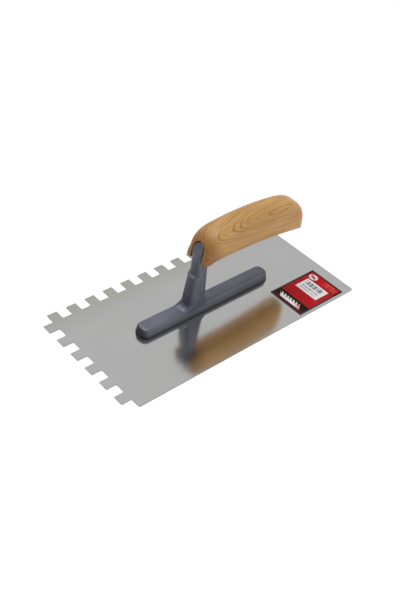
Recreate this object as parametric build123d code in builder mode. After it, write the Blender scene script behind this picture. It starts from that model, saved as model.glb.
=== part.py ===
"""Notched trowel with an open wooden handle.

A thin steel blade, with square notches along one long side and one short side, carries a cast
aluminium bridge. The bridge is one casting: a long foot bar on the blade, a tapered stem, a narrower
neck and a round tang. Countersunk rivets from underneath hold the bar to the blade. The wooden handle
is driven onto the tang, and a slot in its front end straddles the neck. A printed card label and a
small bar-code label are stuck on the blade.

Frame, in millimetres: X runs along the blade, towards the handle's free end. +Y is the notched long
side. Z is up, and the origin is the centre of the blade's underside, which the trowel rests on.
"""

import os
from math import cos, radians, sin, sqrt, tan

from build123d import *

# Blade: a rectangle of sheet
BLADE_LENGTH = 270.0
BLADE_WIDTH = 130.0
BLADE_THICKNESS = 0.8
BLADE_CORNER_RADIUS = 1.8
NOTCH_WIDTH = 10.0
NOTCH_DEPTH = 10.0
TOOTH_WIDTH = 10.0
NOTCH_ROOT_RADIUS = 1.0

# Bridge: foot bar
BAR_X = 0.9
BAR_LENGTH = 150.8
BAR_END_DRAW_IN = 0.3
BAR_BASE_WIDTH = 17.6
BAR_TOP_WIDTH = 13.6
BAR_HEIGHT = 8.7
BAR_EDGE_RADIUS = 2.8
BAR_CORNER_RADIUS = 6.0

# Bridge: stem, from the bar up to a sloping shoulder
STEM_X = -13.0
STEM_LEAN = 1.1
STEM_BASE_LENGTH = 21.2
STEM_BASE_WIDTH = 14.6
STEM_TOP_LENGTH = 15.0
STEM_TOP_WIDTH = 13.4
STEM_EDGE_RADIUS = 5.2
STEM_FLARE_STEPS = 4
STEM_FRONT_FLARE = 5.0
STEM_REAR_FLARE = 3.0
STEM_FLARE_HEIGHT = 5.0
SHOULDER_HEIGHT = 47.0
SHOULDER_SLOPE = 33.0

# Bridge: neck, with a face that leans back at its top, and the tang inside the handle
NECK_SETBACK = 1.9
NECK_REAR_SETBACK = 0.6
NECK_WIDTH = 12.4
NECK_EDGE_RADIUS = 4.2
NECK_BEND_HEIGHT = 65.0
NECK_LEAN = 22.0
TANG_HEIGHT = 69.9
TANG_LENGTH = 82.0
TANG_END_RADIUS = 4.6
TANG_END_ROUNDING = 1.5

# Handle
HANDLE_LENGTH = 126.4
HANDLE_WIDTH = 27.0
HANDLE_UNDERSIDE = 55.6
HANDLE_TOP = 91.4
HANDLE_UNDER_BOW = 3.7
HANDLE_REAR_DROP = 8.1
HANDLE_REAR_RUN = 4.2
HANDLE_FACE_RUN = 4.5
HANDLE_FRONT_SETBACK = 0.8
HANDLE_EDGE_RADIUS = 10.5
HEEL_LENGTH = 11.8
HEEL_RISE = 1.7
CROWN_SETBACK = 55.8
CROWN_RADIUS = 248.0
BROW_RADIUS = 20.0
REAR_RADIUS = 26.0
SLOT_CLEARANCE = 1.0
BORE_CLEARANCE = 0.04
BORE_END_GAP = 3.0

# Rivets, in a zigzag under the bar
RIVET_COUNT = 8
RIVET_SHANK_RADIUS = 2.0
RIVET_HEAD_RADIUS = 3.4
RIVET_LENGTH = 6.5
RIVET_STAGGER = 3.0
RIVET_END_MARGIN = 9.5
RIVET_CLEARANCE = 0.03
RIVET_END_GAP = 0.4
RIVET_TIP_CHAMFER = 0.5

# Labels, set in from the blade's two plain edges
LABEL_LENGTH = 58.8
LABEL_WIDTH = 39.4
LABEL_THICKNESS = 0.15
LABEL_CORNER_RADIUS = 0.8
LABEL_END_MARGIN = 11.8
LABEL_SIDE_MARGIN = 2.8
CODE_LABEL_LENGTH = 18.0
CODE_LABEL_WIDTH = 26.5
CODE_LABEL_THICKNESS = 0.10
CODE_LABEL_SHIFT = 7.1

# Places that follow from the sizes above
BAR_TOP = BLADE_THICKNESS + BAR_HEIGHT
STEM_HEIGHT = SHOULDER_HEIGHT - BAR_TOP
NECK_FRONT = STEM_X - STEM_TOP_LENGTH / 2 + NECK_SETBACK
NECK_REAR = STEM_X + STEM_TOP_LENGTH / 2 - NECK_REAR_SETBACK
TANG_RADIUS = NECK_WIDTH / 2
HANDLE_FRONT = NECK_FRONT + HANDLE_FRONT_SETBACK
HANDLE_REAR = HANDLE_FRONT + HANDLE_LENGTH
CROWN_X = HANDLE_FRONT + CROWN_SETBACK
SLOT_RADIUS = TANG_RADIUS + SLOT_CLEARANCE
SLOT_REAR = NECK_REAR + SLOT_CLEARANCE

os.makedirs("parts", exist_ok=True)


def notch_spans(side_length):
    """Start and end of each notch along a side, measured from the notched corner.

    Only whole notches are cut. Where less than half a tooth would be left at the plain end, the last
    notch runs out past it.
    """
    pitch = NOTCH_WIDTH + TOOTH_WIDTH
    count = int((side_length - NOTCH_WIDTH) // pitch) + 1
    spans = [(pitch * i, pitch * i + NOTCH_WIDTH) for i in range(count)]
    last_start, last_end = spans[-1]
    if side_length - last_end < TOOTH_WIDTH / 2:
        spans[-1] = (last_start, side_length + NOTCH_WIDTH)
    return spans


def rivet_places():
    """Rivet centres along the bar, alternately each side of its centre line."""
    first = BAR_X - BAR_LENGTH / 2 + RIVET_END_MARGIN
    step = (BAR_LENGTH - 2 * RIVET_END_MARGIN) / (RIVET_COUNT - 1)
    return [(first + step * i, RIVET_STAGGER * (-1) ** i) for i in range(RIVET_COUNT)]


def stem_section(height):
    """Middle, length and width of the stem at a height above the bar's top.

    Length and width change evenly from base to shoulder. Near the bar the two ends also flare out, by
    an amount that grows as the square of the depth below the flare's top.
    """
    share = height / STEM_HEIGHT
    flare = max(0.0, 1 - height / STEM_FLARE_HEIGHT) ** 2
    middle = STEM_X - STEM_LEAN * (1 - share)
    half = (STEM_BASE_LENGTH + (STEM_TOP_LENGTH - STEM_BASE_LENGTH) * share) / 2
    front = middle - half - STEM_FRONT_FLARE * flare
    rear = middle + half + STEM_REAR_FLARE * flare
    width = STEM_BASE_WIDTH + (STEM_TOP_WIDTH - STEM_BASE_WIDTH) * share
    return (front + rear) / 2, rear - front, width


def crown_height(x):
    """Height of the handle's crown arc at a place along the handle."""
    return HANDLE_TOP - CROWN_RADIUS + sqrt(CROWN_RADIUS**2 - (x - CROWN_X) ** 2)


# Blade ------------------------------------------------------------------------------------------
with BuildPart() as blade:
    with BuildSketch() as outline:
        Rectangle(BLADE_LENGTH, BLADE_WIDTH)
        for start, end in notch_spans(BLADE_LENGTH):
            with Locations(((start + end - BLADE_LENGTH) / 2, BLADE_WIDTH / 2)):
                RectangleRounded(end - start, 2 * NOTCH_DEPTH, NOTCH_ROOT_RADIUS, mode=Mode.SUBTRACT)
        for start, end in notch_spans(BLADE_WIDTH):
            with Locations((-BLADE_LENGTH / 2, (BLADE_WIDTH - start - end) / 2)):
                RectangleRounded(2 * NOTCH_DEPTH, end - start, NOTCH_ROOT_RADIUS, mode=Mode.SUBTRACT)
        plain_long_edge = outline.vertices().group_by(Axis.Y)[0]
        fillet(plain_long_edge, BLADE_CORNER_RADIUS)
        hidden_corner = outline.vertices().group_by(Axis.X)[-1].sort_by(Axis.Y)[-1]
        fillet(hidden_corner, BLADE_CORNER_RADIUS)
    extrude(amount=BLADE_THICKNESS)
    with Locations([(x, y, 0) for x, y in rivet_places()]):
        Cone(
            RIVET_HEAD_RADIUS + RIVET_CLEARANCE,
            RIVET_SHANK_RADIUS + RIVET_CLEARANCE,
            BLADE_THICKNESS,
            align=(Align.CENTER, Align.CENTER, Align.MIN),
            mode=Mode.SUBTRACT,
        )
blade.part.label = "blade"
export_step(blade.part, "parts/blade.step")

# Bridge -----------------------------------------------------------------------------------------
with BuildPart() as bridge:
    # Foot bar: with rounded corners, and sides drawn in as they rise
    with BuildSketch(Plane((BAR_X, 0, BLADE_THICKNESS))):
        RectangleRounded(BAR_LENGTH, BAR_BASE_WIDTH, BAR_CORNER_RADIUS)
    with BuildSketch(Plane((BAR_X, 0, BAR_TOP))):
        RectangleRounded(BAR_LENGTH - 2 * BAR_END_DRAW_IN, BAR_TOP_WIDTH, BAR_CORNER_RADIUS)
    loft()
    fillet(bridge.faces().sort_by(Axis.Z)[-1].edges(), BAR_EDGE_RADIUS)

    # Stem foot: sections that flare out towards the bar, started inside it
    for step in range(-STEM_FLARE_STEPS // 2, STEM_FLARE_STEPS + 1):
        height = STEM_FLARE_HEIGHT * step / STEM_FLARE_STEPS
        middle, length, width = stem_section(height)
        with BuildSketch(Plane((middle, 0, BAR_TOP + height))):
            RectangleRounded(length, width, STEM_EDGE_RADIUS)
    loft()

    # Stem, straight up past the shoulder's highest point
    shoulder_rise = STEM_TOP_LENGTH * tan(radians(SHOULDER_SLOPE))
    for height in (STEM_FLARE_HEIGHT, STEM_HEIGHT + shoulder_rise):
        middle, length, width = stem_section(height)
        with BuildSketch(Plane((middle, 0, BAR_TOP + height))):
            RectangleRounded(length, width, STEM_EDGE_RADIUS)
    loft(ruled=True)

    # Sloping shoulder, rising towards the handle
    shoulder = Plane(
        origin=(STEM_X, 0, SHOULDER_HEIGHT),
        z_dir=(-sin(radians(SHOULDER_SLOPE)), 0, cos(radians(SHOULDER_SLOPE))),
    )
    with BuildSketch(shoulder):
        Rectangle(2 * STEM_TOP_LENGTH, 2 * STEM_TOP_WIDTH)
    extrude(amount=STEM_HEIGHT / 2, mode=Mode.SUBTRACT)

    # Neck, up to the tang's centre line
    neck_middle = (NECK_FRONT + NECK_REAR) / 2
    with BuildSketch(Plane((neck_middle, 0, SHOULDER_HEIGHT - shoulder_rise / 2))):
        RectangleRounded(NECK_REAR - NECK_FRONT, NECK_WIDTH, NECK_EDGE_RADIUS)
    extrude(amount=TANG_HEIGHT - SHOULDER_HEIGHT + shoulder_rise / 2)

    # Tang, tapering towards the handle's free end
    with BuildSketch(Plane(origin=(NECK_FRONT, 0, TANG_HEIGHT), z_dir=(1, 0, 0))):
        Circle(TANG_RADIUS)
    with BuildSketch(Plane(origin=(NECK_FRONT + TANG_LENGTH, 0, TANG_HEIGHT), z_dir=(1, 0, 0))):
        Circle(TANG_END_RADIUS)
    loft()
    tang_end = bridge.faces().filter_by(Plane.YZ).sort_by(Axis.X)[-1]
    fillet(tang_end.edges(), TANG_END_ROUNDING)

    # Face that leans back above the bend
    lean_rise = TANG_HEIGHT + 2 * TANG_RADIUS - NECK_BEND_HEIGHT
    lean_run = lean_rise * tan(radians(NECK_LEAN))
    with BuildSketch(Plane.XZ):
        with BuildLine():
            Polyline(
                (NECK_FRONT, NECK_BEND_HEIGHT),
                (NECK_FRONT + lean_run, NECK_BEND_HEIGHT + lean_rise),
                (NECK_FRONT - lean_run, NECK_BEND_HEIGHT + lean_rise),
                (NECK_FRONT - lean_run, NECK_BEND_HEIGHT),
                close=True,
            )
        make_face()
    extrude(amount=NECK_WIDTH, both=True, mode=Mode.SUBTRACT)

    # Blind holes for the rivet shanks
    with Locations([(x, y, 0) for x, y in rivet_places()]):
        Cylinder(
            RIVET_SHANK_RADIUS + RIVET_CLEARANCE,
            RIVET_LENGTH + RIVET_END_GAP,
            align=(Align.CENTER, Align.CENTER, Align.MIN),
            mode=Mode.SUBTRACT,
        )
bridge.part.label = "bridge"
export_step(bridge.part, "parts/bridge.step")

# Handle -----------------------------------------------------------------------------------------
with BuildPart() as handle:
    # Side view: leaning front face, crown arc, rear end, bowed underside and a front heel that rises
    heel = (HANDLE_FRONT, HANDLE_UNDERSIDE + HEEL_RISE)
    heel_start = (HANDLE_FRONT + HEEL_LENGTH, HANDLE_UNDERSIDE)
    rear_heel = (HANDLE_REAR, HANDLE_UNDERSIDE - HANDLE_REAR_DROP)
    brow_x = HANDLE_FRONT + HANDLE_FACE_RUN
    rear_x = HANDLE_REAR - HANDLE_REAR_RUN
    with BuildSketch(Plane.XZ) as side_view:
        with BuildLine():
            Line(heel, (brow_x, crown_height(brow_x)))
            ThreePointArc(
                (brow_x, crown_height(brow_x)),
                (CROWN_X, HANDLE_TOP),
                (rear_x, crown_height(rear_x)),
            )
            Line((rear_x, crown_height(rear_x)), rear_heel)
            SagittaArc(rear_heel, heel_start, -HANDLE_UNDER_BOW)
            Line(heel_start, heel)
        make_face()
        brow_corner = side_view.vertices().sort_by(Axis.X)[1]
        fillet(brow_corner, BROW_RADIUS)
        rear_corner = side_view.vertices().sort_by(Axis.X)[-2]
        fillet(rear_corner, REAR_RADIUS)
    extrude(amount=HANDLE_WIDTH / 2, both=True)

    # Edges rounded to fit the palm: all round both side faces
    for side in handle.faces().filter_by(Plane.XZ):
        fillet(side.edges(), HANDLE_EDGE_RADIUS)

    # Slot that straddles the neck: open at the front and underneath, with a round top
    with BuildSketch(Plane.YZ.offset(HANDLE_FRONT - SLOT_CLEARANCE)):
        with Locations((0, TANG_HEIGHT)):
            Circle(SLOT_RADIUS)
        with Locations((0, TANG_HEIGHT)):
            Rectangle(2 * SLOT_RADIUS, TANG_HEIGHT, align=(Align.CENTER, Align.MAX))
    extrude(amount=SLOT_REAR - HANDLE_FRONT + SLOT_CLEARANCE, mode=Mode.SUBTRACT)

    # Bore that the tang is driven into, closed at its far end
    with BuildSketch(Plane(origin=(NECK_FRONT, 0, TANG_HEIGHT), z_dir=(1, 0, 0))):
        Circle(TANG_RADIUS + BORE_CLEARANCE)
    with BuildSketch(Plane(origin=(NECK_FRONT + TANG_LENGTH, 0, TANG_HEIGHT), z_dir=(1, 0, 0))):
        Circle(TANG_END_RADIUS + BORE_CLEARANCE)
    loft(mode=Mode.SUBTRACT)
    with BuildSketch(Plane(origin=(NECK_FRONT + TANG_LENGTH, 0, TANG_HEIGHT), z_dir=(1, 0, 0))):
        Circle(TANG_END_RADIUS + BORE_CLEARANCE)
    extrude(amount=BORE_END_GAP, mode=Mode.SUBTRACT)
handle.part.label = "handle"
export_step(handle.part, "parts/handle.step")

# Rivets -----------------------------------------------------------------------------------------
for number, (x, y) in enumerate(rivet_places(), start=1):
    with BuildPart() as rivet:
        with Locations((x, y, 0)):
            Cone(
                RIVET_HEAD_RADIUS,
                RIVET_SHANK_RADIUS,
                BLADE_THICKNESS,
                align=(Align.CENTER, Align.CENTER, Align.MIN),
            )
            Cylinder(
                RIVET_SHANK_RADIUS,
                RIVET_LENGTH,
                align=(Align.CENTER, Align.CENTER, Align.MIN),
            )
        chamfer(rivet.faces().sort_by(Axis.Z)[-1].edges(), RIVET_TIP_CHAMFER)
    rivet.part.label = f"rivet_{number}"
    export_step(rivet.part, f"parts/rivet_{number}.step")

# Labels -----------------------------------------------------------------------------------------
label_x = BLADE_LENGTH / 2 - LABEL_END_MARGIN - LABEL_LENGTH / 2
label_y = -BLADE_WIDTH / 2 + LABEL_SIDE_MARGIN + LABEL_WIDTH / 2

with BuildPart() as label:
    with BuildSketch(Plane((label_x, label_y, BLADE_THICKNESS))):
        RectangleRounded(LABEL_LENGTH, LABEL_WIDTH, LABEL_CORNER_RADIUS)
    extrude(amount=LABEL_THICKNESS)
label.part.label = "label"
export_step(label.part, "parts/label.step")

with BuildPart() as code_label:
    with BuildSketch(Plane((label_x + CODE_LABEL_SHIFT, label_y, BLADE_THICKNESS + LABEL_THICKNESS))):
        Rectangle(CODE_LABEL_LENGTH, CODE_LABEL_WIDTH)
    extrude(amount=CODE_LABEL_THICKNESS)
code_label.part.label = "code_label"
export_step(code_label.part, "parts/code_label.step")
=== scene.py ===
"""A notched trowel: steel blade, cast bridge, beech handle and two paper labels, on a pale floor.

Lengths in the functions below are millimetres unless a name says otherwise. Finished meshes are metres.
"""

import bmesh
import bpy
import numpy as np
from mathutils import Matrix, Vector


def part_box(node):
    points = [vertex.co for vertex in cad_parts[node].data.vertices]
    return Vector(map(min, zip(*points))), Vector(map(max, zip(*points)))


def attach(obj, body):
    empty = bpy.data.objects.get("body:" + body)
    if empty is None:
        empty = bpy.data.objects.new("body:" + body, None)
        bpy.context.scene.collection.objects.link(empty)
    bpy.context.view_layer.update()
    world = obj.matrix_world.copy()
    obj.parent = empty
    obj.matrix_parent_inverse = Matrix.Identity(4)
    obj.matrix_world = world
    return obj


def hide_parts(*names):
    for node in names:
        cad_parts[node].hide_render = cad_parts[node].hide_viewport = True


MM = 0.001
MM_PER_METRE = 1000.0

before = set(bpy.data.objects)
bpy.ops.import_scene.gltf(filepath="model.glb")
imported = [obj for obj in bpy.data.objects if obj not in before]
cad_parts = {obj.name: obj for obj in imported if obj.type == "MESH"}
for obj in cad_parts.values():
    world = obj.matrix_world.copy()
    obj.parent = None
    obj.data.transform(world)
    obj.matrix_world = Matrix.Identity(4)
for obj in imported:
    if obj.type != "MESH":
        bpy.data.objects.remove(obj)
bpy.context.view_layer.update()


# ---------------------------------------------------------------------------------------- camera
CAMERA_PLACE = (-445.7, -414.2, 521.0)
CAMERA_TARGET = (1.9, 6.2, 0.0)
CAMERA_ROLL = 8.51
CAMERA_LENS = 52.78
SENSOR_WIDTH = 36.0


def add_camera():
    """A camera at CAMERA_PLACE that faces CAMERA_TARGET, rolled by CAMERA_ROLL degrees from level."""
    data = bpy.data.cameras.new("camera")
    data.sensor_width = SENSOR_WIDTH
    data.lens = CAMERA_LENS
    data.clip_start = 0.01
    camera = bpy.data.objects.new("camera", data)
    bpy.context.scene.collection.objects.link(camera)
    forward = np.subtract(CAMERA_TARGET, CAMERA_PLACE)
    forward /= np.linalg.norm(forward)
    level = np.cross(forward, (0.0, 0.0, 1.0))
    level /= np.linalg.norm(level)
    roll = np.radians(CAMERA_ROLL)
    right = level * np.cos(roll) + np.cross(level, forward) * np.sin(roll)
    axes = np.eye(4)
    axes[:3, 0] = right
    axes[:3, 1] = np.cross(right, forward)
    axes[:3, 2] = -forward
    axes[:3, 3] = np.array(CAMERA_PLACE) * MM
    camera.matrix_world = Matrix(axes.tolist())
    bpy.context.scene.camera = camera


# ------------------------------------------------------------------------------- shader writing
class Signal:
    """A number on a shader socket. Arithmetic and comparison on it add Math nodes."""

    def __init__(self, finish, socket):
        self.finish = finish
        self.socket = socket

    def __add__(self, other):
        return self.finish.math("ADD", self, other)

    def __sub__(self, other):
        return self.finish.math("SUBTRACT", self, other)

    def __rsub__(self, other):
        return self.finish.math("SUBTRACT", other, self)

    def __mul__(self, other):
        return self.finish.math("MULTIPLY", self, other)

    def __truediv__(self, other):
        return self.finish.math("DIVIDE", self, other)

    def __pow__(self, other):
        return self.finish.math("POWER", self, other)

    def __gt__(self, other):
        return self.finish.math("GREATER_THAN", self, other)

    def __lt__(self, other):
        return self.finish.math("LESS_THAN", self, other)

    def __abs__(self):
        return self.finish.math("ABSOLUTE", self)

    def __mod__(self, other):
        return self.finish.math("FLOORED_MODULO", self, other)

    __radd__ = __add__
    __rmul__ = __mul__


class Finish:
    """One material, with its principled shader and the nodes that drive it."""

    def __init__(self, name, constants):
        self.material = bpy.data.materials.new(name)
        self.material.use_nodes = True
        self.tree = self.material.node_tree
        self.tree.nodes.clear()
        self.shader = self.tree.nodes.new("ShaderNodeBsdfPrincipled")
        output = self.tree.nodes.new("ShaderNodeOutputMaterial")
        self.tree.links.new(self.shader.outputs[0], output.inputs["Surface"])
        for socket, value in constants.items():
            self.shader.inputs[socket].default_value = value

    def join(self, value, socket):
        """Links a signal to a socket, or sets the socket to a plain value."""
        if isinstance(value, Signal):
            self.tree.links.new(value.socket, socket)
        else:
            socket.default_value = value

    def node(self, kind, settings, inputs, output=0):
        """Adds a node: its settings first, then the values or links of its sockets."""
        made = self.tree.nodes.new(kind)
        for key, value in settings.items():
            if key == "stops":
                elements = made.color_ramp.elements
                while len(elements) < len(value):
                    elements.new(0.5)
                for element, (place, colour) in zip(elements, value):
                    element.position = place
                    element.color = (*colour, 1.0)
            else:
                setattr(made, key, value)
        for key, value in inputs.items():
            self.join(value, made.inputs[key])
        return Signal(self, made.outputs[output])

    def math(self, operation, *values):
        """Adds a Math node on one to three values."""
        return self.node("ShaderNodeMath", {"operation": operation}, dict(enumerate(values)))

    def place(self):
        """x, y and z of the point in the object's frame, in millimetres."""
        coordinates = self.node("ShaderNodeTexCoord", {}, {}, "Object")
        parts = [self.node("ShaderNodeSeparateXYZ", {}, {0: coordinates}, axis) for axis in "XYZ"]
        return [part * MM_PER_METRE for part in parts]

    def noise(self, x, y, z, detail=2.0, roughness=0.5):
        """Noise from 0 to 1 that changes over about one unit of x, y and z."""
        where = self.node("ShaderNodeCombineXYZ", {}, {0: x, 1: y, 2: z})
        return self.node(
            "ShaderNodeTexNoise", {},
            {"Vector": where, "Scale": 1.0, "Detail": detail, "Roughness": roughness},
        )

    def fade(self, value, low, high):
        """0 below low, 1 above high, and a smooth rise between them."""
        return self.node(
            "ShaderNodeMapRange", {"interpolation_type": "SMOOTHSTEP"},
            {"Value": value, "From Min": low, "From Max": high},
        )

    def band(self, value, low, high):
        """1 between low and high, and 0 elsewhere."""
        return (value > low) * (value < high)

    def mix(self, first, second, share):
        """A colour between first and second."""
        colours = [c if isinstance(c, Signal) else (*c, 1.0) for c in (first, second)]
        return self.node(
            "ShaderNodeMix", {"data_type": "RGBA"}, {0: share, 6: colours[0], 7: colours[1]}, 2
        )

    def bump(self, height, strength, distance):
        """A normal that leans with the height; distance is in metres."""
        return self.node(
            "ShaderNodeBump", {}, {"Height": height, "Strength": strength, "Distance": distance}
        )

    def feed(self, **signals):
        """Feeds the shader's varying sockets, named with _ for a space."""
        for name, value in signals.items():
            self.join(value, self.shader.inputs[name.replace("_", " ")])
        return self.material


# ------------------------------------------------------------------------------------ finishes
def rolled_steel():
    """Lightly polished sheet: fine streaks along the blade, a warm tint by the notched long edge."""
    f = Finish("rolled_steel", {"Metallic": 1.0})
    x, y, z = f.place()
    streaks = f.noise(x * 0.06, y * 4.0, z, detail=4.0, roughness=0.65)
    cloud = f.noise(x * 0.03, y * 0.045, z, detail=3.0)
    fine = f.noise(x * 0.9, y * 0.9, z, detail=3.0, roughness=0.7)
    warm = f.fade(y + (cloud - 0.5) * 26.0, 30.0, 66.0)
    sheet = f.mix((0.600, 0.605, 0.590), (0.520, 0.515, 0.440), warm * 0.85)
    sheet = f.mix(sheet, (0.66, 0.66, 0.66), f.fade(cloud, 0.45, 0.75) * 0.30)
    speck = f.fade(f.noise(x * 0.55, y * 0.55, z + 40.0, detail=1.0), 0.765, 0.80)
    sheet = f.mix(sheet, (0.22, 0.21, 0.19), speck * 0.45)
    facing = f.node("ShaderNodeNewGeometry", {}, {}, "Normal")
    cut = abs(f.node("ShaderNodeSeparateXYZ", {}, {0: facing}, "Z")) < 0.6
    colour = f.mix(sheet, (0.20, 0.20, 0.20), cut)
    uneven = (streaks - 0.5) * 0.05 + (cloud - 0.5) * 0.04 + (fine - 0.5) * 0.04
    roughness = 0.135 + uneven + cut * 0.2
    normal = f.bump(streaks * 0.9 + fine * 0.1, 0.03, 0.00004)
    return f.feed(Base_Color=colour, Roughness=roughness, Normal=normal)


def cast_metal():
    """Tumbled casting: dull bluish grey satin, finely pitted, with painted shade along its foot and on its
    front end.
    """
    f = Finish("cast_metal", {"Metallic": 1.0})
    x, y, z = f.place()
    grain = f.noise(x * 1.6, y * 1.6, z * 1.6, detail=4.0, roughness=0.65)
    cloud = f.noise(x * 0.05, y * 0.05, z * 0.05, detail=2.0)
    pits = f.fade(f.noise(x * 0.8, y * 0.8, z * 0.8, detail=2.0), 0.68, 0.75)
    colour = f.mix((0.142, 0.146, 0.178), (0.172, 0.176, 0.210), f.fade(cloud, 0.3, 0.7))
    colour = f.mix(colour, (0.10, 0.10, 0.11), pits * 0.4)
    colour = f.mix(colour, (0.23, 0.23, 0.25), f.fade(grain, 0.5, 0.8) * 0.30)
    # painted shade: the casting darkens towards its foot, where it meets the blade
    foot_shade = (1 - f.fade(z + (grain - 0.5) * 1.5, 0.8, 5.2)) * 0.80
    colour = f.mix(colour, (0.035, 0.035, 0.030), foot_shade)
    # painted shade: the front end face darkens
    end = (1 - f.fade(x - z * 0.2, -76.0, -73.4)) * 0.55
    colour = f.mix(colour, (0.030, 0.030, 0.032), end)
    roughness = 0.52 + (grain - 0.5) * 0.12 + (cloud - 0.5) * 0.06
    normal = f.bump(grain * 0.7 - pits * 0.5, 0.25, 0.0003)
    return f.feed(Base_Color=colour, Roughness=roughness, Normal=normal)


def turned_rivet():
    """Soft metal with fine turning rings and a rubbed head."""
    f = Finish("turned_rivet", {"Metallic": 1.0})
    x, y, z = f.place()
    scratch = f.noise(x * 5.0, y * 0.5, z, detail=3.0)
    spots = f.noise(x * 0.8, y * 0.8, z * 0.8, detail=3.0)
    colour = f.mix((0.50, 0.50, 0.51), (0.66, 0.66, 0.67), spots)
    return f.feed(
        Base_Color=colour,
        Roughness=0.30 + (scratch - 0.5) * 0.2,
        Normal=f.bump(scratch, 0.15, 0.0001),
    )


# Growth rings of the handle: the heart of the tree runs slightly tilted under the palm's near edge
HEART = (70.0, -10.7, 85.5)
HEART_TILT = 0.20
DIAGONAL = 0.7071
RING_WIDTH = 2.4


def beech_wood():
    """Rings round a tilted heart line, uneven in width and depth, long fibres, flecks and a thin varnish.

    Painted shade deepens the colour to an orange brown at the front end, most at its lower part.
    """
    f = Finish("beech_wood", {"Coat Roughness": 0.30, "Coat IOR": 1.45, "Specular IOR Level": 0.26})
    x, y, z = f.place()
    sway = f.noise(x * 0.022, y * 0.05, z * 0.05, detail=2.0)
    shiver = f.noise(x * 0.07, y * 0.30, z * 0.30, detail=3.0)
    aside, above = y - HEART[1], z - HEART[2]
    out = (above - aside) * DIAGONAL + (x - HEART[0]) * HEART_TILT
    across = (above + aside) * DIAGONAL
    radius = (out * out + across * across) ** 0.5 + (sway - 0.5) * 7.0 + (shiver - 0.5) * 1.3
    # the rings' widths vary from year to year
    radius = radius + (f.noise(radius * 0.21, 5.0, 0.0, detail=2.0) - 0.5) * 5.5
    ring = (radius / RING_WIDTH) % 1.0
    late = f.fade(ring, 0.45, 0.90) * (1 - f.fade(ring, 0.91, 1.0))
    year = f.noise(radius * 0.40, x * 0.012, 3.0, detail=1.0)
    fibre = f.noise(x * 0.10, y * 3.0, z * 3.0, detail=3.0, roughness=0.6)
    streak = f.noise(x * 0.030, y * 0.9, z * 0.9, detail=3.0, roughness=0.6)
    tone = f.noise(x * 0.020, y * 0.09, z * 0.09, detail=2.0)
    fleck = f.fade(f.noise(x * 0.50, y * 2.6, z * 2.6, detail=1.0), 0.67, 0.73)
    colour = f.mix((0.590, 0.345, 0.118), (0.500, 0.262, 0.078), f.fade(tone, 0.3, 0.7))
    colour = f.mix(colour, (0.400, 0.190, 0.052), f.fade(streak, 0.46, 0.76) * 0.60)
    lower = 1 - f.fade(z, 60.0, 72.0) * 0.55
    depth = (0.18 + f.fade(year, 0.40, 0.66) * 0.82) * (1.15 - lower * 0.55)
    colour = f.mix(colour, (0.285, 0.128, 0.034), late * depth)
    colour = f.mix(colour, (0.640, 0.400, 0.165), f.fade(fibre, 0.50, 0.78) * 0.42)
    colour = f.mix(colour, (0.250, 0.105, 0.032), fleck * 0.50)
    # painted shade over the front end, deepest low down beside the neck
    front_shade_edge = x + (z - 70.0) * 0.45 + (tone - 0.5) * 14.0 + (streak - 0.5) * 16.0
    front_shade = 1 - f.fade(front_shade_edge, -14.0, 4.0)
    shade_brown = f.mix((0.330, 0.140, 0.034), (0.190, 0.072, 0.020), f.fade(streak, 0.42, 0.58))
    colour = f.mix(colour, shade_brown, front_shade * 0.76)
    normal = f.bump(fibre * 0.5 - late * 0.25 - fleck * 0.7, 0.30, 0.00012)
    return f.feed(
        Base_Color=colour,
        Roughness=0.42 + (fibre - 0.5) * 0.20 + fleck * 0.15,
        Coat_Weight=0.14 - fleck * 0.10,
        Normal=normal,
    )


LABEL_RED = (0.500, 0.006, 0.010)
LABEL_BLACK = (0.006, 0.005, 0.006)
PAPER_WHITE = (0.840, 0.835, 0.820)


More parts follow.
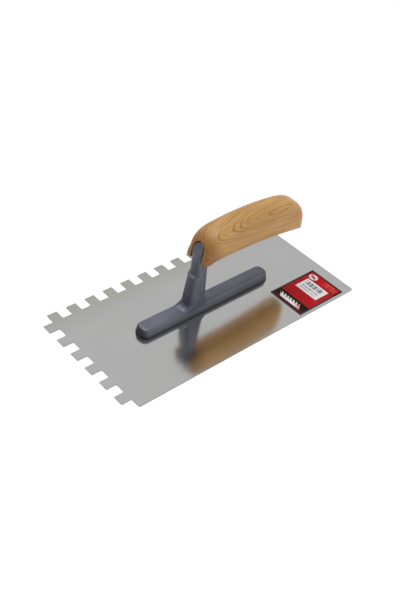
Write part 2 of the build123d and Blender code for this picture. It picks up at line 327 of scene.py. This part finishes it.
def printed_card(low, high):
    """Red card with a black border, a dark strip with a plain notch diagram, an oval and ruled lines."""
    f = Finish("printed_card", {"Specular IOR Level": 0.10})
    x, y, z = f.place()
    x_low, y_low = low[0] / MM, low[1] / MM
    x_high, y_high = high[0] / MM, high[1] / MM
    wash = f.noise(x * 0.08, y * 0.08, z, detail=3.0)
    paper = f.noise(x * 2.2, y * 2.2, z, detail=3.0)
    colour = f.mix(LABEL_RED, (0.420, 0.004, 0.008), f.fade(wash, 0.3, 0.7))
    # short dark ruled lines where small print would be
    dash = f.noise(y * 0.55, x * 0.4, 3.0, detail=1.0) > 0.47
    ruled = f.band(x % 2.5, 0.0, 0.75) * f.band(x, x_low + 15.8, x_low + 25.2)
    ruled = ruled * f.band(y, y_low + 6.0, y_high - 6.5) * dash
    colour = f.mix(colour, (0.200, 0.006, 0.012), ruled * 0.75)
    # pale ruled lines near the far corner
    pale = f.band(x % 2.2, 0.0, 1.0) * f.band(x, x_high - 9.5, x_high - 3.6)
    pale = pale * f.band(y, y_low + 4.2, y_low + 18.5) * dash
    colour = f.mix(colour, (0.800, 0.280, 0.230), pale * 0.55)
    # plain oval with a dark swash through it
    oval_x, oval_y = (x - (x_high - 7.7)) / 3.9, (y - (y_high - 8.4)) / 4.9
    oval = (oval_x * oval_x + oval_y * oval_y) < 1.0
    colour = f.mix(colour, (0.82, 0.72, 0.70), oval)
    swash = f.band(abs(oval_x - oval_y * 0.35), 0.0, 0.30) * f.band(oval_y, -0.55, 0.65)
    colour = f.mix(colour, (0.300, 0.030, 0.030), swash)
    # dark strip, and on it a pale bar with a row of square teeth
    strip = x < x_low + 13.6
    dark = f.mix((0.090, 0.006, 0.012), LABEL_BLACK, f.fade(x, x_low + 2.0, x_low + 9.0))
    colour = f.mix(colour, dark, strip)
    slant = y - (x - x_low) * 0.7
    bar = f.band(x, x_low + 4.2, x_low + 10.4) * f.band(slant, y_low + 3.0, y_high - 11.5)
    tooth = f.band(slant % 3.6, 0.0, 1.5) * (x > x_low + 7.8)
    tint = f.mix((0.780, 0.330, 0.300), PAPER_WHITE, f.fade(slant, y_low + 4.0, y_low + 11.0))
    colour = f.mix(colour, tint, bar * (1 - tooth))
    # border, with a thin pale line just inside it
    end_gap = f.math("MINIMUM", x - x_low, x_high - x)
    edge = f.math("MINIMUM", end_gap, f.math("MINIMUM", y - y_low, y_high - y))
    colour = f.mix(colour, LABEL_BLACK, edge < 1.8)
    line = f.band(edge, 0.85, 1.15) * (x < x_high - 12.0)
    colour = f.mix(colour, (0.300, 0.270, 0.270), line * 0.7)
    return f.feed(
        Base_Color=colour,
        Roughness=0.46 + (paper - 0.5) * 0.14,
        Normal=f.bump(paper, 0.12, 0.00003),
    )


def bar_code_paper(low, high):
    """White matt paper with bars of several widths in no real code, and two rows of small marks."""
    f = Finish("bar_code_paper", {"Specular IOR Level": 0.4})
    x, y, z = f.place()
    x_low, y_low = low[0] / MM, low[1] / MM
    x_high, y_high = high[0] / MM, high[1] / MM
    paper = f.noise(x * 2.5, y * 2.5, z, detail=4.0)
    colour = f.mix(PAPER_WHITE, (0.76, 0.76, 0.77), paper)
    bars = f.noise(y * 0.70, 0.0, 7.0, detail=0.0) > 0.47
    bars = bars * f.band(x, x_high - 8.2, x_high - 2.4) * f.band(y, y_low + 3.2, y_high - 3.2)
    marks = f.noise(y * 1.1, x * 0.6, 2.0, detail=0.0) > 0.47
    rows = f.band(x, x_low + 6.0, x_low + 7.6) + f.band(x, x_low + 2.8, x_low + 3.9)
    marks = marks * rows * f.band(y, y_low + 3.6, y_high - 3.6)
    colour = f.mix(colour, (0.03, 0.03, 0.07), f.math("MAXIMUM", bars, marks) * 0.92)
    return f.feed(
        Base_Color=colour,
        Roughness=0.62 + (paper - 0.5) * 0.1,
        Normal=f.bump(paper, 0.2, 0.00003),
    )


# ---------------------------------------------------------------------------------- mesh helpers
def mesh_object(name, points, faces):
    """An object at the origin from points in millimetres."""
    mesh = bpy.data.meshes.new(name)
    mesh.from_pydata((points * MM).tolist(), [], faces.tolist())
    mesh.validate()
    made = bpy.data.objects.new(name, mesh)
    bpy.context.scene.collection.objects.link(made)
    return made


def tube_faces(rows, columns):
    """Quads between neighbouring rows of a grid whose columns close into a loop."""
    row, column = np.meshgrid(np.arange(rows - 1), np.arange(columns), indexing="ij")
    beside = (column + 1) % columns
    corners = (row * columns + column, row * columns + beside,
               (row + 1) * columns + beside, (row + 1) * columns + column)
    return np.stack(corners, -1).reshape(-1, 4)


# Points closer than this, in metres, are one point
MERGE_REACH = 0.000002


def tidy_shell(piece):
    """Merges doubled points, closes open ends with a face and turns every face outwards."""
    shell = bmesh.new()
    shell.from_mesh(piece.data)
    bmesh.ops.remove_doubles(shell, verts=shell.verts, dist=MERGE_REACH)
    bmesh.ops.dissolve_degenerate(shell, edges=shell.edges, dist=MERGE_REACH / 2)
    bmesh.ops.holes_fill(shell, edges=[edge for edge in shell.edges if edge.is_boundary])
    bmesh.ops.recalc_face_normals(shell, faces=shell.faces)
    shell.to_mesh(piece.data)
    shell.free()


def settle(piece):
    """Replaces the mesh by what its modifiers make of it."""
    graph = bpy.context.evaluated_depsgraph_get()
    graph.update()
    finished = bpy.data.meshes.new_from_object(piece.evaluated_get(graph))
    piece.modifiers.clear()
    piece.data = finished


def cut_away(piece, tool):
    """Takes the tool's volume out of the piece."""
    step = piece.modifiers.new("cut", "BOOLEAN")
    step.operation = "DIFFERENCE"
    step.solver = "EXACT"
    step.object = tool
    settle(piece)
    bpy.data.objects.remove(tool)


def even_skin(piece, size):
    """Rebuilds the surface from evenly spaced quads of the given size, in millimetres."""
    step = piece.modifiers.new("skin", "REMESH")
    step.mode = "VOXEL"
    step.voxel_size = size * MM
    step.use_smooth_shade = True
    settle(piece)


# A push back slightly over the half step keeps a relaxed surface from shrinking
PUSH_BACK = 0.51


def relax(piece, rounds, push_back, hold=None):
    """Moves each point half way to the middle of its neighbours, then push_back of the way back.

    hold gives each point's share of the move, from its coordinates in millimetres.
    """
    mesh = piece.data
    count = len(mesh.vertices)
    points = np.empty(count * 3)
    mesh.vertices.foreach_get("co", points)
    points = points.reshape(-1, 3)
    ends = np.empty(len(mesh.edges) * 2, int)
    mesh.edges.foreach_get("vertices", ends)
    first, second = ends.reshape(-1, 2).T
    tally = np.bincount(ends, minlength=count)[:, None]
    share = 1.0 if hold is None else hold(points / MM)[:, None]
    for _ in range(rounds):
        for amount in (0.5, -push_back):
            total = np.stack(
                [np.bincount(first, points[second, axis], count)
                 + np.bincount(second, points[first, axis], count) for axis in range(3)], 1)
            points = points + (total / tally - points) * amount * share
    mesh.vertices.foreach_set("co", points.ravel())
    mesh.update()
    mesh.polygons.foreach_set("use_smooth", np.ones(len(mesh.polygons), bool))


# ---------------------------------------------------------------------------------------- handle
# Side view of the handle, as x and z: a straight face beside the neck, a crown arc along the top, a
# straight rear end and a long underside, with a conic at each bend
FRONT_HEEL = (-17.75, 57.9)
FACE_TOP = (-17.4, 66.0)
BROW = (-15.6, 87.4)
CROWN_TOP = (38.0, 91.35)
CROWN_RADIUS = 248.0
CROWN_SPAN = (15.0, 78.0)
REAR_BROW = (106.0, 83.6)
REAR_FACE = (108.0, 58.0)
REAR_HEEL = (108.45, 47.6)
FINGER_BEND = (50.0, 55.7)
LEG_START = (8.0, 55.6)
LEG_BEND = (-5.0, 55.6)
BROW_PULL = 0.95
REAR_PULL = 1.1
FINGER_PULL = 3.5
LEG_PULL = 1.0
BEND_POINTS = 80
LOOP_FINENESS = 4

# Section of the handle: half its width, the power of its superellipse along it, and its spine
HANDLE_HALF_WIDTH = 13.5
MIDDLE_FULLNESS = 2.7
FRONT_FULLNESS = 4.1
REAR_FULLNESS = 2.9
LEG_FULLNESS = 5.0
LEG_REACH = (-18.5, -6.0)
LEG_HEIGHT = (58.0, 68.0)
FRONT_REACH = (-20.0, 12.0)
REAR_REACH = (78.0, 108.0)
SPINE = ((-2.25, 70.5), (92.9, 67.5))
HEEL_SOFTNESS = 0.9
FLAT_SHARE = 0.03
HANDLE_GRID = 0.52


def conic(start, corner, end, pull):
    """Curve from start to end, tangent there to the lines to the corner.

    P(s) = (u start + v corner + w end) / (u + v + w), where u = (1 - s)^2, v = 2 pull s (1 - s), w = s^2.
    """
    s = np.linspace(0, 1, BEND_POINTS)[:, None]
    weights = (1 - s) ** 2, 2 * pull * s * (1 - s), s**2
    total = sum(weight * np.array(point) for weight, point in zip(weights, (start, corner, end)))
    return total / sum(weights)


def side_loop(count):
    """The side view as count evenly spaced points.

    The crown is z = top - R + sqrt(R^2 - (x - middle)^2). Each point is then averaged with those within
    HEEL_SOFTNESS of it, which rounds the heels.
    """
    x = np.linspace(*CROWN_SPAN, BEND_POINTS)
    crown = np.column_stack(
        [x, CROWN_TOP[1] - CROWN_RADIUS + np.sqrt(CROWN_RADIUS**2 - (x - CROWN_TOP[0]) ** 2)])
    closed = np.vstack([
        FRONT_HEEL,
        conic(FACE_TOP, BROW, crown[0], BROW_PULL),
        crown[1:-1],
        conic(crown[-1], REAR_BROW, REAR_FACE, REAR_PULL),
        conic(REAR_HEEL, FINGER_BEND, LEG_START, FINGER_PULL),
        conic(LEG_START, LEG_BEND, FRONT_HEEL, LEG_PULL)[1:],
    ])
    run = np.r_[0, np.cumsum(np.hypot(*np.diff(closed, axis=0).T))]
    dense = LOOP_FINENESS * count
    even = np.linspace(0, run[-1], dense, endpoint=False)
    loop = np.stack([np.interp(even, run, closed[:, axis]) for axis in (0, 1)], 1)
    reach = int(HEEL_SOFTNESS / (run[-1] / dense))
    weights = np.hanning(2 * reach + 3)[1:-1]
    weights /= weights.sum()
    padded = np.vstack([loop[-reach:], loop, loop[:reach]])
    loop = np.stack([np.convolve(padded[:, axis], weights, "valid") for axis in (0, 1)], 1)
    return loop[::LOOP_FINENESS]


def soft_step(x, low, high):
    """0 below low, 1 above high, and 3 s^2 - 2 s^3 between them, s being the share of the way."""
    share = np.clip((x - low) / (high - low), 0, 1)
    return share * share * (3 - 2 * share)


def handle_blank(rows=61, columns=360):
    """Surface of the handle before it is slotted.

    Across the width, y = w sin(a)^(2/n) and the side view shrinks towards the spine by cos(a)^(2/n), for a
    from -90 to 90 degrees: a superellipse of power n. Each point of the side view shrinks towards the
    nearest point of the spine. n grows from the middle of the handle to its ends, and most of all towards
    the lower corners of the two legs beside the neck. Each side ends in a narrow flat round the spine.
    """
    loop = side_loop(columns)
    start, end = np.array(SPINE)
    along = np.clip((loop - start) @ (end - start) / ((end - start) @ (end - start)), 0, 1)[:, None]
    core = start + along * (end - start)
    angle = np.linspace(-np.pi / 2, np.pi / 2, rows)
    fullness = (
        MIDDLE_FULLNESS
        + (FRONT_FULLNESS - MIDDLE_FULLNESS) * (1 - soft_step(loop[:, 0], *FRONT_REACH))
        + (REAR_FULLNESS - MIDDLE_FULLNESS) * soft_step(loop[:, 0], *REAR_REACH)
        + LEG_FULLNESS * (1 - soft_step(loop[:, 0], *LEG_REACH)) * (1 - soft_step(loop[:, 1], *LEG_HEIGHT))
    )
    sine, cosine = np.sin(angle)[:, None], np.abs(np.cos(angle))[:, None]
    y = HANDLE_HALF_WIDTH * np.sign(sine) * np.abs(sine) ** (2 / fullness)
    shrink = cosine ** (2 / fullness)
    shrink[[0, -1]] = FLAT_SHARE
    side = core + (loop - core) * shrink[..., None]
    points = np.stack([side[..., 0], y, side[..., 1]], -1).reshape(-1, 3)
    blank = mesh_object("wooden_handle", points, tube_faces(rows, columns))
    tidy_shell(blank)
    return blank


# Slot that straddles the neck, and bore for the tang
SLOT_RADIUS = 6.85
SLOT_FRONT = -30.0
SLOT_REAR = -5.1
SLOT_FOOT = 30.0
TANG_HEIGHT = 69.9
TANG_FRONT = -18.6
TANG_REAR = 66.4
BORE_RADII = (6.24, 4.64)


def prism(name, outline, start, end):
    """The closed outline, as y and z, carried from x = start to x = end, with both ends closed."""
    count = len(outline)
    points = np.concatenate(
        [np.column_stack([np.full(count, x), outline]) for x in (start, end)])
    made = mesh_object(name, points, tube_faces(2, count))
    tidy_shell(made)
    return made


def neck_slot():
    """Outline of the slot: an arch of SLOT_RADIUS round the tang's centre line, open downwards."""
    angle = np.linspace(0, np.pi, 49)
    arch = np.column_stack([SLOT_RADIUS * np.cos(angle), TANG_HEIGHT + SLOT_RADIUS * np.sin(angle)])
    return np.vstack([arch, [(-SLOT_RADIUS, SLOT_FOOT), (SLOT_RADIUS, SLOT_FOOT)]])


def tang_bore():
    """A cone frustum along x whose radius falls evenly: y = r cos(a), z = tang height + r sin(a)."""
    angle = np.linspace(0, 2 * np.pi, 64, endpoint=False)
    x = np.array([TANG_FRONT, TANG_REAR])[:, None]
    radius = np.array(BORE_RADII)[:, None]
    y = radius * np.cos(angle)
    z = TANG_HEIGHT + radius * np.sin(angle)
    points = np.stack([np.broadcast_to(x, y.shape), y, z], -1).reshape(-1, 3)
    made = mesh_object("bore", points, tube_faces(2, len(angle)))
    tidy_shell(made)
    return made


def wooden_handle():
    """The blank, slotted and bored, with every cut edge eased a little."""
    handle = handle_blank()
    cut_away(handle, prism("slot", neck_slot(), SLOT_FRONT, SLOT_REAR))
    cut_away(handle, tang_bore())
    even_skin(handle, HANDLE_GRID)
    relax(handle, 4, PUSH_BACK)
    handle.data.materials.clear()
    handle.data.materials.append(beech_wood())
    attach(handle, "root")
    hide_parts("handle")


# --------------------------------------------------------------------------------------- casting
BRIDGE_GRID = 0.45
FLAT_HEIGHT = 1.0
SOFT_HEIGHT = 2.5


def above_blade(points):
    """0 up to FLAT_HEIGHT, 1 from SOFT_HEIGHT up, and an even rise between them."""
    return np.clip((points[:, 2] - FLAT_HEIGHT) / (SOFT_HEIGHT - FLAT_HEIGHT), 0, 1)


def cast_bridge():
    """The bridge with every inner and outer corner softened as a casting's are, flat on the blade."""
    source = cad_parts["bridge"]
    bridge = bpy.data.objects.new("cast_bridge", source.data.copy())
    bpy.context.scene.collection.objects.link(bridge)
    tidy_shell(bridge)
    even_skin(bridge, BRIDGE_GRID)
    relax(bridge, 5, 0.0, above_blade)
    relax(bridge, 8, PUSH_BACK, above_blade)
    bridge.data.materials.clear()
    bridge.data.materials.append(cast_metal())
    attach(bridge, "root")
    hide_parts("bridge")


# ----------------------------------------------------------------------------------------- stage
FLOOR_REACH = 6000.0
FLOOR_HEIGHT = -0.2


def give_material(node, material):
    """Gives a node its material, and leaves its mesh as it is."""
    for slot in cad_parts[node].material_slots:
        slot.link = "OBJECT"
        slot.material = material


def add_floor():
    """A pale floor just under the blade."""
    signs = ((-1, -1), (1, -1), (1, 1), (-1, 1))
    corners = np.array([(x * FLOOR_REACH, y * FLOOR_REACH, FLOOR_HEIGHT) for x, y in signs])
    floor = mesh_object("floor", corners, np.array([[0, 1, 2, 3]]))
    f = Finish("pale_floor", {"Roughness": 0.9, "Specular IOR Level": 0.0, "Emission Strength": 0.72})
    x, y, z = f.place()
    grain = f.noise(x * 0.01, y * 0.01, z, detail=3.0)
    floor.data.materials.append(f.feed(
        Base_Color=f.mix((0.40, 0.40, 0.40), (0.42, 0.42, 0.42), grain),
        Emission_Color=f.mix((0.99, 0.99, 0.99), (1.0, 1.0, 1.0), grain),
    ))


def add_light(name, place, target, size, power):
    """A square soft white light that faces target. Lengths are metres."""
    data = bpy.data.lights.new(name, "AREA")
    data.shape = "SQUARE"
    data.size = size
    data.energy = power
    light = bpy.data.objects.new(name, data)
    bpy.context.scene.collection.objects.link(light)
    away = np.array(place, float) - np.array(target, float)
    away /= np.linalg.norm(away)
    right = np.cross((0.0, 0.0, 1.0), away)
    right /= np.linalg.norm(right)
    axes = np.eye(4)
    axes[:3, 0], axes[:3, 1], axes[:3, 2], axes[:3, 3] = right, np.cross(away, right), away, place
    light.matrix_world = Matrix(axes.tolist())


def add_studio():
    """White surroundings, darker on the side that the trowel's front faces, with soft lights above."""
    world = bpy.data.worlds.new("studio")
    bpy.context.scene.world = world
    world.use_nodes = True
    nodes, links = world.node_tree.nodes, world.node_tree.links
    background = nodes["Background"]
    direction = nodes.new("ShaderNodeTexCoord")
    parts = nodes.new("ShaderNodeSeparateXYZ")
    links.new(direction.outputs["Generated"], parts.inputs[0])
    ramp = nodes.new("ShaderNodeMapRange")
    ramp.interpolation_type = "SMOOTHSTEP"
    for socket, value in {"From Min": -0.9, "From Max": 0.1, "To Min": 0.20, "To Max": 0.80}.items():
        ramp.inputs[socket].default_value = value
    links.new(parts.outputs["X"], ramp.inputs["Value"])
    links.new(ramp.outputs[0], background.inputs["Strength"])
    background.inputs["Color"].default_value = (0.86, 0.86, 0.87, 1.0)
    add_light("key", (-0.1, 0.3, 1.1), (0, 0, 0), 0.7, 6.0)
    add_light("fill", (0.35, -1.1, 0.45), (0, 0, 0.05), 0.8, 1.2)
    bpy.context.scene.view_settings.view_transform = "Standard"


add_camera()
add_studio()
add_floor()
wooden_handle()
cast_bridge()
give_material("blade", rolled_steel())
rivet_metal = turned_rivet()
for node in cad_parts:
    if node.startswith("rivet"):
        give_material(node, rivet_metal)
give_material("label", printed_card(*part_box("label")))
give_material("code_label", bar_code_paper(*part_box("code_label")))
